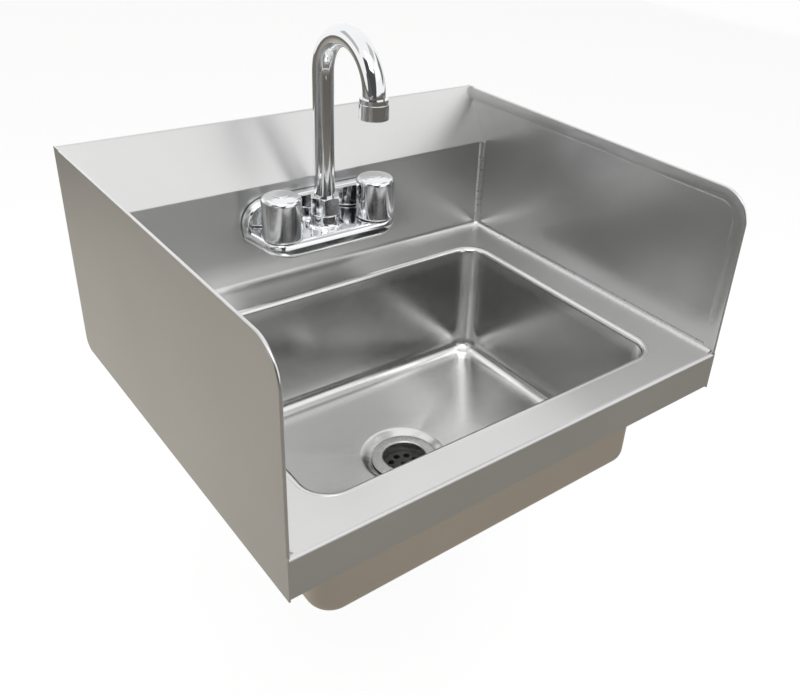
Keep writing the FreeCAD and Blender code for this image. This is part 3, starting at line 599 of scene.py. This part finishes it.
class HANDSINK_OT_bowl(bpy.types.Operator):
    """The drawn bowl: one wall section carried round it, and a floor creased towards the drain"""

    bl_idname = "handsink.bowl"
    bl_label = "Bowl"

    def execute(self, context):
        settings = context.scene.handsink_bowl
        low, high = box_of("bowl")
        middle, top = (low[1] + high[1]) / 2, high[2]
        half_x, half_y = high[0] - settings.corner, (high[1] - low[1]) / 2 - settings.corner
        centre, angle = self.way_round(half_x, half_y)
        out = np.column_stack([np.cos(angle), np.sin(angle)])
        profile = self.wall_section(settings)
        sides = swept(centre, out, profile[:, 0], profile[:, 1] + top)
        flat = self.floor_rays(settings, sides[:, -1, :2], middle)
        level = bowl_floor(settings, flat[..., 0], flat[..., 1] + middle, half_x, half_y, middle, top)
        points = np.concatenate([sides, np.concatenate([flat, level[..., None]], -1)], 1)
        points[..., 1] += middle
        # Painted light for each point: painted shade on the walls and painted highlights down the corners.
        painted_light = self.painted_light(settings, top - points[..., 2], angle)
        piece = make_piece("bowl_skin", [grid(points[::-1], closed_rows=True)], bowl_steel(), ROOT,
                           replaces=("bowl",), sharp=60, closed=False, painted_light=painted_light[::-1])
        rough = context.scene.handsink_sheet.roughness + 0.05
        # The outside's shade paints its steel lighter and warmer, as a painted reflection of a warm floor.
        outside = brushed_steel("bowl_back_steel", (120, 120, 120), rough, spread=0.02, anisotropy=0.0,
                                shade=(1.2, 1.13, 1.03), scratch_depth=0.0)
        piece.data.materials.append(outside)
        thicken = piece.modifiers.new("sheet", "SOLIDIFY")
        thicken.thickness = settings.thickness
        thicken.offset = -1
        thicken.material_offset = 1
        return {"FINISHED"}

    def way_round(self, half_x, half_y):
        """Centre and angle of each wall section: four sides, each followed by a quarter turn.

        Along a side the centre moves and the angle stays; in a corner the angle turns and the centre
        stays. Each side is worked out as the right one and then spun into its place.
        """
        corner_steps = 24
        turning = np.linspace(0, QUARTER, corner_steps, endpoint=False)
        centres, angles = [], []
        for turn in range(4):
            across, along, count = (half_y, half_x, 59) if turn % 2 else (half_x, half_y, 43)
            line = np.column_stack([np.full(count, across),
                                    np.linspace(-along, along, count, endpoint=False)])
            arc = np.broadcast_to([across, along], (corner_steps, 2))
            cosine, sine = math.cos(turn * QUARTER), math.sin(turn * QUARTER)
            spin = np.array([[cosine, sine], [-sine, cosine]])
            centres.append(np.concatenate([line, arc]) @ spin)
            angles.append(np.concatenate([np.zeros(count), turning]) + turn * QUARTER)
        return np.concatenate(centres), np.concatenate(angles)

    def wall_section(self, settings):
        """Distance from the section's centre and height: level strip, roll, leaning wall and cove.

        The wall's straight run has steps of its own, so that its shade can change on the way down.
        """
        bend_steps, floor_start = 14, 2 * MM
        wall = settings.corner - settings.rim_flat - settings.rim_radius
        profile = rounded([(settings.corner, 0), (wall, 0),
                           (wall - settings.wall_lean, -settings.edge_depth),
                           (floor_start, -settings.edge_depth)],
                          {1: settings.rim_radius, 2: settings.cove}, steps=bend_steps)
        foot = bend_steps + 2
        share = np.linspace(0, 1, 10)[1:-1, None]
        run = profile[foot - 1] * (1 - share) + profile[foot] * share
        return np.concatenate([profile[:foot], run, profile[foot:]])

    def floor_rays(self, settings, rim, middle):
        """The floor's points from above, on rays from the cove's foot to the hole for the drain.

        They lie closer together near the dish round the drain, and closest inside it.
        """
        drain = np.array([0, settings.drain_place - middle])
        ray = rim - drain
        reach = np.linalg.norm(ray, axis=1, keepdims=True)
        shares = np.concatenate([np.linspace(0, 1, 22)[1:] ** 0.8 * 0.88, [0.94, 1.0]])
        dish = settings.dish_radius + settings.dish_softness + 1 * MM
        outside = reach - (reach - dish) * shares[None, :]
        inside = dish + (settings.drain_hole - dish) * np.linspace(0, 1, 12)[1:]
        distance = np.concatenate([outside, np.broadcast_to(inside, (len(rim), len(inside)))], 1)
        return drain + (ray / reach)[:, None, :] * distance[:, :, None]

    def painted_light(self, settings, depth, angle):
        """How light each point is painted: 1 on the rim, the coves and the floor, and less on the walls.

        The walls' painted shade eases in under the roll and out above the cove, and falls to a tenth in
        a corner with the squared sine of twice the angle into it, which paints a highlight down each corner.
        """
        share = np.clip(depth / settings.edge_depth, 0, 1)
        wall_painted_shade = eased((share - 0.04) / 0.08) * eased((0.93 - share) / 0.1)
        corner = np.sin(2 * (angle % QUARTER))[:, None] ** 2
        return 1 - wall_painted_shade * (1 - 0.9 * corner)


def bowl_steel():
    """Drawn and polished steel, with painted shade on the walls and painted highlights down the corners."""
    rough = bpy.context.scene.handsink_sheet.roughness - 0.03
    # Shade 1.1 paints the bowl's steel lighter than the sheet's, as painted light.
    material = brushed_steel("bowl_steel", (160, 160, 160), rough, spread=0.015, anisotropy=0.0, shade=1.1,
                             scratch_depth=0.0)
    tree = material.node_tree
    shader = tree.nodes["Principled BSDF"]
    colour = shader.inputs["Base Color"].links[0].from_socket
    # Painted light: the colour falls to the wall shade on the walls, for painted shade, and stays full in
    # the corners, for painted highlights.
    painted_light = add_node(tree, "ShaderNodeAttribute", attribute_name="painted_light").outputs["Fac"]
    shade = remapped(tree, painted_light, bpy.context.scene.handsink_bowl.wall_shade, 1, 0, 1)
    painted_shade_colour = add_node(tree, "ShaderNodeVectorMath", {0: colour, "Scale": shade}, operation="SCALE")
    tree.links.new(painted_shade_colour.outputs["Vector"], shader.inputs["Base Color"])
    return material


def stadium_ring(half, radius):
    """A ring with straight top and bottom and round ends, as offsets across and up."""
    angle = np.linspace(-QUARTER, QUARTER, 28)
    right = np.column_stack([half + radius * np.cos(angle), radius * np.sin(angle)])
    return np.concatenate([right, -right])


def flange_surface(settings):
    """The wall flange: a stadium whose radius shrinks over a rounded front edge, then a flat face."""
    half = settings.inlet_spacing / 2
    drop = settings.flange_radius - settings.flange_face_radius
    turn = np.linspace(0, QUARTER, 9)
    lead = settings.flange_thickness / 3
    radii = np.concatenate([[settings.flange_radius], settings.flange_face_radius + drop * np.cos(turn),
                            [0.0]])
    depth = np.concatenate([[0], lead + (settings.flange_thickness - lead) * np.sin(turn),
                            [settings.flange_thickness]])
    rows = []
    for radius, forward in zip(radii, depth):
        ring = stadium_ring(half if radius else 0.0, radius) + [0, settings.flange_height]
        rows.append(np.insert(ring, 1, settings.back - forward, axis=1))
    return grid(np.stack(rows), closed_columns=True)


def shelf_surface(settings):
    """The shelf: lower half of a stadium that narrows to the front and closes with rounded edges.

    Along the depth, the end radius and the keel go straight from their wall sizes to their front sizes.
    Near the front the half length gives way by a quarter circle of the end radius, the keel rises by a
    quarter circle of its own rounding and the top falls by one of the nose's. The section's upper edges
    are quarter circles and its sides are quarter ellipses.
    """
    reach, corner = settings.back - settings.shelf_front, settings.shelf_radius
    straight = np.linspace(0, 1 - corner / reach, 12)[:-1]
    end = 1 - (1 - np.linspace(0, 1, 20)) ** 2
    share = np.concatenate([straight, 1 - corner / reach + end * corner / reach])

    def given_way(size):
        into = np.clip((share * reach - (reach - size)) / size, 0, 1)
        return size * (1 - np.sqrt(1 - into ** 2))

    wall_radius = settings.flange_radius - 1.5 * MM
    keel = settings.flange_height - wall_radius
    radius = wall_radius + (corner - wall_radius) * share
    half_length = settings.inlet_spacing / 2 + radius - given_way(corner)
    bottom = keel + (settings.shelf_bottom - keel) * share + given_way(settings.keel_round)
    crest = settings.shelf_top - given_way(settings.nose_round)
    turn = np.linspace(0, QUARTER, 16)
    rows = []
    for end_radius, half, low, high, place in zip(radius, half_length, bottom, crest, share):
        edge = min(settings.shelf_round, 0.8 * (high - low))
        side = np.column_stack([half - 0.9 * end_radius * (1 - np.cos(turn)),
                                high - edge - (high - edge - low) * np.sin(turn)])
        right = np.concatenate([rolled_edge(half, high, edge, 8)[::-1], side[1:]])
        ring = np.concatenate([right, (right * [-1, 1])[::-1]])
        rows.append(np.insert(ring, 1, settings.back - place * reach, axis=1))
    return grid(capped(np.stack(rows)), closed_columns=True)


def boss_surface(x, y, radius, low, high, flare):
    """A round boss that flares into the shelf through a quarter circle and has a turned-down top."""
    turn = np.linspace(0, QUARTER, 8)
    foot = np.column_stack([radius + flare * (1 - np.sin(turn)), low + flare * (1 - np.cos(turn))])
    edge = rolled_edge(radius, high, flare / 4, 8)
    return turned(np.concatenate([foot, edge, [[0.0, high]]]), x, y)


class HANDSINK_OT_faucet_body(bpy.types.Operator):
    """The faucet's chromed casting, and its two threaded inlet shanks behind the backsplash"""

    bl_idname = "handsink.faucet_body"
    bl_label = "Faucet body"

    def execute(self, context):
        settings = context.scene.handsink_faucet
        boss = boss_surface(0, settings.spout_place, settings.boss_radius, settings.shelf_top,
                            settings.boss_top, 4 * MM)
        make_piece("faucet_casting", [flange_surface(settings), shelf_surface(settings), boss],
                   chrome("casting_chrome", 0.02), ROOT, replaces=("faucet_body",), sharp=50)
        brass = plain("shank_metal", (0.62, 0.6, 0.55), (0.78, 0.77, 0.72), 0.25, metallic=1.0)
        for name, side in SIDES.items():
            node = name + "_inlet_shank"
            low, high = box_of(node)
            seat, end = low[1], high[1]
            across, up, along = threaded(settings.shank_radius - THREAD_DEPTH, settings.shank_radius, end,
                                         seat, settings.shank_pitch,
                                         [(settings.shank_bore, seat), (settings.shank_bore, end)])
            points = np.stack([side * settings.inlet_spacing / 2 + across, along,
                               settings.inlet_height + up], -1)
            make_piece(name + "_threaded_shank", [grid(points, closed_rows=True, closed_columns=True)],
                       brass, ROOT, replaces=(node,), sharp=35)
        return {"FINISHED"}


class HANDSINK_OT_spout(bpy.types.Operator):
    """The gooseneck, its nut and the aerator"""

    bl_idname = "handsink.spout"
    bl_label = "Gooseneck"

    def execute(self, context):
        bright = chrome("spout_chrome")
        dress(bright, "gooseneck_spout", "spout_nut", "aerator_housing")
        dress(plain("aerator_plastic", (0.45, 0.46, 0.47), (0.6, 0.6, 0.6), 0.5), "aerator_insert",
              "spout_thrust_washer")
        return {"FINISHED"}


class HANDSINK_OT_handles(bpy.types.Operator):
    """The two round handles with their caps and screws"""

    bl_idname = "handsink.handles"
    bl_label = "Handles"

    def execute(self, context):
        faucet, settings = context.scene.handsink_faucet, context.scene.handsink_handle
        bright = chrome("handle_chrome", 0.06)
        steel = plain("screw_metal", (0.4, 0.4, 0.4), (0.6, 0.6, 0.6), 0.35, metallic=1.0)
        for name, side in SIDES.items():
            x, y = side * faucet.inlet_spacing / 2, faucet.handle_place
            low, high = box_of(name + "_handle")
            drum = self.drum(settings, (high[0] - low[0]) / 2, low[2], high[2], x, y)
            make_piece(name + "_knob", [drum], bright, name + "_handle_body",
                       replaces=(name + "_handle",), sharp=35)
            low, high = box_of(name + "_handle_cap")
            make_piece(name + "_knob_cap", [self.cap(settings, low[2], high[2], x, y)], bright,
                       name + "_handle_body", replaces=(name + "_handle_cap",), sharp=35)
            dress(steel, name + "_handle_screw")
        return {"FINISHED"}

    def drum(self, settings, radius, low, high, x, y):
        """A hollow drum turned from its section: skirt, rounded shoulder and a top domed like a shallow cup.

        The dome's height falls with the square of the distance from the axis.
        """
        inner, face = radius - settings.wall, radius - settings.shoulder
        cap_hole, crown = settings.cap_radius + settings.cap_gap, high - settings.dome
        roof, hub_foot = high - settings.roof, high - settings.hub_depth
        socket_end, cap_seat = high - settings.socket_depth, high - settings.cap_seat_depth
        screw_seat = high - settings.screw_seat_depth
        inside = rounded([(settings.socket_radius, socket_end), (settings.socket_radius, hub_foot),
                          (settings.hub_radius, hub_foot), (settings.hub_radius, roof), (inner, roof),
                          (inner, low)], {4: settings.wall}, steps=8)
        foot = rounded([(inner, low), (radius, low), (radius, low + settings.foot_height)],
                       {1: settings.foot_round}, steps=8)[1:]
        edge = rolled_edge(radius, crown, settings.shoulder, 14)
        across = np.linspace(face, cap_hole, 10)[1:]
        top = np.column_stack([across, high - settings.dome * (across / face) ** 2])
        recess = [(cap_hole, cap_seat), (settings.screw_seat_radius, cap_seat),
                  (settings.screw_seat_radius, screw_seat), (settings.screw_radius, screw_seat),
                  (settings.screw_radius, socket_end)]
        return turned(np.concatenate([inside, foot, edge, top, recess, inside[:1]]), x, y, sides=128)

    def cap(self, settings, low, high, x, y):
        """A button whose top rises like a shallow dome and whose edge is a quarter circle."""
        radius, edge, dome = settings.cap_radius, settings.cap_edge, settings.cap_dome
        side = rolled_edge(radius, high - dome, edge, 6)
        across = np.linspace(radius - edge, 0, 8)[1:]
        top = np.column_stack([across, high - dome * (across / (radius - edge)) ** 2])
        return turned(np.concatenate([[(0.0, low), (radius, low)], side, top]), x, y)


class HANDSINK_OT_drain(bpy.types.Operator):
    """The drain's flange, threaded tail and grid

    The drain is one closed section turned about its axis: the thread, the flange with its rounded edges,
    the bore, the ledge under the grid and the throat.
    """

    bl_idname = "handsink.drain"
    bl_label = "Drain"

    def execute(self, context):
        settings = context.scene.handsink_drain
        low, high = box_of("drain_body")
        centre, radius, top = (low[1] + high[1]) / 2, (high[0] - low[0]) / 2, high[2]
        under, ledge = top - settings.flange_height, top - settings.ledge_depth
        section = rounded([(settings.thread_radius, under), (radius, under), (radius, top),
                           (settings.bore, top), (settings.bore, ledge), (settings.throat, ledge),
                           (settings.throat, low[2])],
                          {2: settings.flange_round, 3: settings.flange_round}, steps=7)
        across, up, along = threaded(settings.thread_radius - THREAD_DEPTH, settings.thread_radius,
                                     low[2], under, settings.thread_pitch, section)
        make_piece("threaded_drain", [grid(np.stack([across, centre + up, along], -1), closed_rows=True,
                                           closed_columns=True)],
                   self.flange_steel(context.scene.handsink_bowl, settings), ROOT,
                   replaces=("drain_body",), sharp=45)
        # Painted shade: the grid is coloured nearly black, as the hole below it is dark.
        dress(plain("grid_steel", (0.06, 0.06, 0.06), (0.1, 0.1, 0.095), 0.5, metallic=0.6), "drain_grid")
        return {"FINISHED"}

    def flange_steel(self, bowl, drain):
        """Polished steel outside the bore's radius round the drain's axis, and painted shade on the throat
        inside it.
        """
        material = plain("drain_steel", (0.66, 0.66, 0.65), (0.72, 0.72, 0.71), 0.25, metallic=1.0,
                         scale=120.0, bump_depth=0.005 * MM)
        tree = material.node_tree
        shader = tree.nodes["Principled BSDF"]
        bright = shader.inputs["Base Color"].links[0].from_socket
        place = add_node(tree, "ShaderNodeTexCoord").outputs["Object"]
        arm = add_node(tree, "ShaderNodeVectorMath", {0: place, 1: (0, bowl.drain_place, 0)},
                       operation="SUBTRACT").outputs["Vector"]
        flat = add_node(tree, "ShaderNodeVectorMath", {0: arm, 1: (1, 1, 0)}, operation="MULTIPLY")
        reach = add_node(tree, "ShaderNodeVectorMath", {0: flat.outputs["Vector"]}, operation="LENGTH")
        share = remapped(tree, reach.outputs["Value"], 0, 1, drain.bore - 1 * MM, drain.bore)
        # Painted shade: the throat inside the bore is coloured nearly black.
        tree.links.new(tinted(tree, share, (0.08, 0.08, 0.075), bright), shader.inputs["Base Color"])
        return material


class HANDSINK_OT_fittings(bpy.types.Operator):
    """Finishes of the gaskets, washers, nuts and valve parts"""

    bl_idname = "handsink.fittings"
    bl_label = "Hidden fittings"

    def execute(self, context):
        rubber = plain("rubber", (0.02, 0.02, 0.02), (0.05, 0.05, 0.05), 0.75, scale=800.0,
                       bump_depth=0.05 * MM)
        brass = plain("brass", (0.55, 0.42, 0.2), (0.75, 0.6, 0.32), 0.35, metallic=1.0)
        zinc = plain("washer_steel", (0.5, 0.5, 0.5), (0.65, 0.65, 0.65), 0.35, metallic=1.0)
        ceramic = plain("ceramic", (0.8, 0.79, 0.75), (0.88, 0.87, 0.84), 0.3)
        plastic = plain("slip_plastic", (0.4, 0.41, 0.42), (0.55, 0.56, 0.57), 0.5)
        dress(rubber, "drain_flange_gasket", "drain_rubber_washer", "faucet_gasket", "spout_o_rings",
              "aerator_washer")
        dress(plastic, "drain_slip_washer")
        dress(brass, "drain_lock_nut")
        for name in SIDES:
            dress(rubber, name + "_valve_seal")
            dress(brass, name + "_inlet_lock_nut", name + "_valve_bonnet", name + "_valve_stem")
            dress(zinc, name + "_inlet_washer")
            dress(ceramic, name + "_valve_fixed_disc", name + "_valve_turning_disc")
        return {"FINISHED"}


def card(name, centre, normal, width, height, colour, strength=1.0):
    """A glowing card of the studio, seen only in reflections."""
    mesh = bpy.data.meshes.new(name)
    half = np.array([[-1, -1, 0], [1, -1, 0], [1, 1, 0], [-1, 1, 0]]) * [width / 2, height / 2, 0]
    turn = np.array(Vector(normal).to_track_quat("Z", "Y").to_matrix())
    mesh.from_pydata((half @ turn.T + np.array(centre)).tolist(), [], [(0, 1, 2, 3)])
    reflected_only(name, mesh, colour, strength)


def floor_card(name, height, front, back):
    """A wide toned card on the floor, seen only in reflections.

    The tone goes smoothly from the front colour to the back colour along Y, less so to the left, and
    falls by half with the distance from the sink. The card's lines lie at the hyperbolic sines of even
    steps, which crowds them under the sink.
    """
    axis = np.sinh(np.linspace(-2.2, 2.2, 61)) * 1.35
    x, y = np.meshgrid(axis, axis, indexing="ij")
    backwards, rightwards = eased((y + 0.6) / 1.5), eased((x + 1.15) / 0.8)
    share = (backwards * (0.3 + 0.7 * rightwards))[..., None]
    fade = 1 - 0.5 * eased((np.hypot(x, y) - 1.8) / 1.6)[..., None]
    tone = (np.array(front) * (1 - share) + np.array(back) * share) * fade
    points, faces = grid(np.stack([x, y, np.full_like(x, height)], -1))
    mesh = bpy.data.meshes.new(name)
    mesh.from_pydata(points.tolist(), [], faces.tolist())
    layer = mesh.color_attributes.new("tone", "FLOAT_COLOR", "POINT")
    colours = np.column_stack([tone.reshape(-1, 3), np.ones(len(points))])
    layer.data.foreach_set("color", colours.astype(np.float32).ravel())
    reflected_only(name, mesh, attribute="tone")


def reflected_only(name, mesh, colour=PALE, strength=1.0, attribute=None):
    """A glowing stage object that only glossy rays see, in one colour or in its own attribute's."""
    material = bpy.data.materials.new(name)
    material.use_nodes = True
    tree = material.node_tree
    tree.nodes.clear()
    glow = add_node(tree, "ShaderNodeEmission", {"Color": (*colour, 1), "Strength": strength})
    if attribute:
        tone = add_node(tree, "ShaderNodeAttribute", attribute_name=attribute)
        tree.links.new(tone.outputs["Color"], glow.inputs["Color"])
    out = add_node(tree, "ShaderNodeOutputMaterial")
    tree.links.new(glow.outputs[0], out.inputs["Surface"])
    mesh.materials.append(material)
    obj = add_object(name, mesh)
    obj.visible_camera = obj.visible_diffuse = obj.visible_shadow = obj.visible_transmission = False


class HANDSINK_OT_stage(bpy.types.Operator):
    """The floor, the studio's light and the camera"""

    bl_idname = "handsink.stage"
    bl_label = "Stage"

    def execute(self, context):
        settings = context.scene.handsink_stage
        floor_height = box_of("bowl")[1][2] - settings.floor_drop
        self.floor(floor_height)
        self.light(context.scene, floor_height)
        self.camera(context.scene, settings)
        return {"FINISHED"}

    def floor(self, height):
        """A wide pale floor under the sink."""
        reach = 14.0
        mesh = bpy.data.meshes.new("floor")
        mesh.from_pydata([(-reach, -reach, height), (reach, -reach, height), (reach, reach, height),
                          (-reach, reach, height)], [], [(0, 1, 2, 3)])
        material, _, shader = new_material("pale_floor")
        shader.inputs["Base Color"].default_value = (0.985, 0.985, 0.985, 1)
        shader.inputs["Roughness"].default_value = 0.9
        mesh.materials.append(material)
        floor = add_object("floor", mesh)

    def light(self, scene, floor_height):
        """A white world, a soft lamp, and the cards that the metal reflects."""
        world = bpy.data.worlds.new("studio")
        scene.world = world
        world.use_nodes = True
        tree = world.node_tree
        tree.nodes.clear()
        out = add_node(tree, "ShaderNodeOutputWorld")
        white = add_node(tree, "ShaderNodeBackground", {"Color": (*PALE, 1), "Strength": 1.0})
        tree.links.new(white.outputs[0], out.inputs["Surface"])
        lamp = bpy.data.lights.new("key_lamp", "AREA")
        lamp.size, lamp.energy = 1.6, 14.0
        place, target = Vector((-0.9, -1.6, 2.0)), Vector((0, -0.2, -0.1))
        key = add_object("key_lamp", lamp)
        key.location = place
        key.rotation_mode = "QUATERNION"
        key.rotation_quaternion = (target - place).to_track_quat("-Z", "Y")
        floor_card("toned_floor_card", floor_height + 0.05, (0.27, 0.25, 0.22), (0.48, 0.455, 0.4))
        card("grey_card_left", (-2.6, -1.6, -0.1), (0.85, 0.5, 0), 3.6, 1.5, (0.10, 0.10, 0.105))
        card("grey_card_camera", (-2.0, -1.85, 0.8), (0.62, 0.72, -0.3), 4.3, 2.9, (0.07, 0.07, 0.07))
        card("grey_card_behind", (-1.95, 1.42, 1.6), (0.7, -0.5, -0.5), 2.2, 1.0, (0.5, 0.5, 0.5))
        card("grey_card_right", (2.5, -0.4, 0.7), (-0.95, 0.15, -0.25), 1.5, 1.4, (0.2, 0.2, 0.2))
        card("grey_card_above", (1.16, -0.67, 1.99), (-0.48, 0.28, -0.83), 1.4, 0.9, (0.55, 0.55, 0.55))
        card("bright_card_front", (1.3, -2.2, 1.55), (-0.45, 0.75, -0.5), 2.6, 1.5, PALE, 1.12)

    def camera(self, scene, settings):
        """The camera, from its place, its three angles and the picture's principal point.

        The forward direction is (cos p sin y, cos p cos y, sin p) of the pitch and yaw. Right and up are
        turned about it by the roll.
        """
        yaw, pitch, roll = settings.camera_yaw, settings.camera_pitch, settings.camera_roll
        forward = Vector((math.cos(pitch) * math.sin(yaw), math.cos(pitch) * math.cos(yaw), math.sin(pitch)))
        level = Vector((math.cos(yaw), -math.sin(yaw), 0))
        upward = level.cross(forward)
        right = level * math.cos(roll) + upward * math.sin(roll)
        up = -level * math.sin(roll) + upward * math.cos(roll)
        data = bpy.data.cameras.new("camera")
        width, height = settings.picture_width, settings.picture_height
        data.sensor_fit = "HORIZONTAL"
        data.lens = data.sensor_width * settings.focal_length / width
        data.shift_x = (width / 2 - settings.centre_x) / width
        data.shift_y = (settings.centre_y - height / 2) / width
        camera = add_object("camera", data)
        camera.location = settings.camera_place
        camera.rotation_mode = "QUATERNION"
        camera.rotation_quaternion = Matrix((right, up, -forward)).transposed().to_quaternion()
        scene.camera = camera
        scene.view_settings.view_transform = "Standard"


OPERATORS = [HANDSINK_OT_sheet, HANDSINK_OT_panels, HANDSINK_OT_welds, HANDSINK_OT_bowl,
             HANDSINK_OT_faucet_body, HANDSINK_OT_spout, HANDSINK_OT_handles, HANDSINK_OT_drain,
             HANDSINK_OT_fittings, HANDSINK_OT_stage]


class HANDSINK_PT_builder(bpy.types.Panel):
    """Lists the operators and the settings"""

    bl_idname = "HANDSINK_PT_builder"
    bl_label = "Hand wash sink"
    bl_space_type = "VIEW_3D"
    bl_region_type = "UI"
    bl_category = "Hand sink"

    def draw(self, context):
        for operator in OPERATORS:
            self.layout.operator(operator.bl_idname)
        for name in SETTINGS:
            group = getattr(context.scene, name)
            for key in group.__annotations__:
                self.layout.prop(group, key)


SETTINGS = {"handsink_sheet": SheetSettings, "handsink_bowl": BowlSettings, "handsink_drain": DrainSettings,
            "handsink_faucet": FaucetSettings, "handsink_handle": HandleSettings,
            "handsink_stage": StageSettings}
CLASSES = [*SETTINGS.values(), *OPERATORS, HANDSINK_PT_builder]


def register():
    for cls in CLASSES:
        bpy.utils.register_class(cls)
    for name, group in SETTINGS.items():
        setattr(bpy.types.Scene, name, PointerProperty(type=group))


def unregister():
    for name in SETTINGS:
        delattr(bpy.types.Scene, name)
    for cls in reversed(CLASSES):
        bpy.utils.unregister_class(cls)


def main():
    register()
    for operator in OPERATORS:
        group, name = operator.bl_idname.split(".")
        getattr(getattr(bpy.ops, group), name)()


if __name__ == "__main__":
    main()
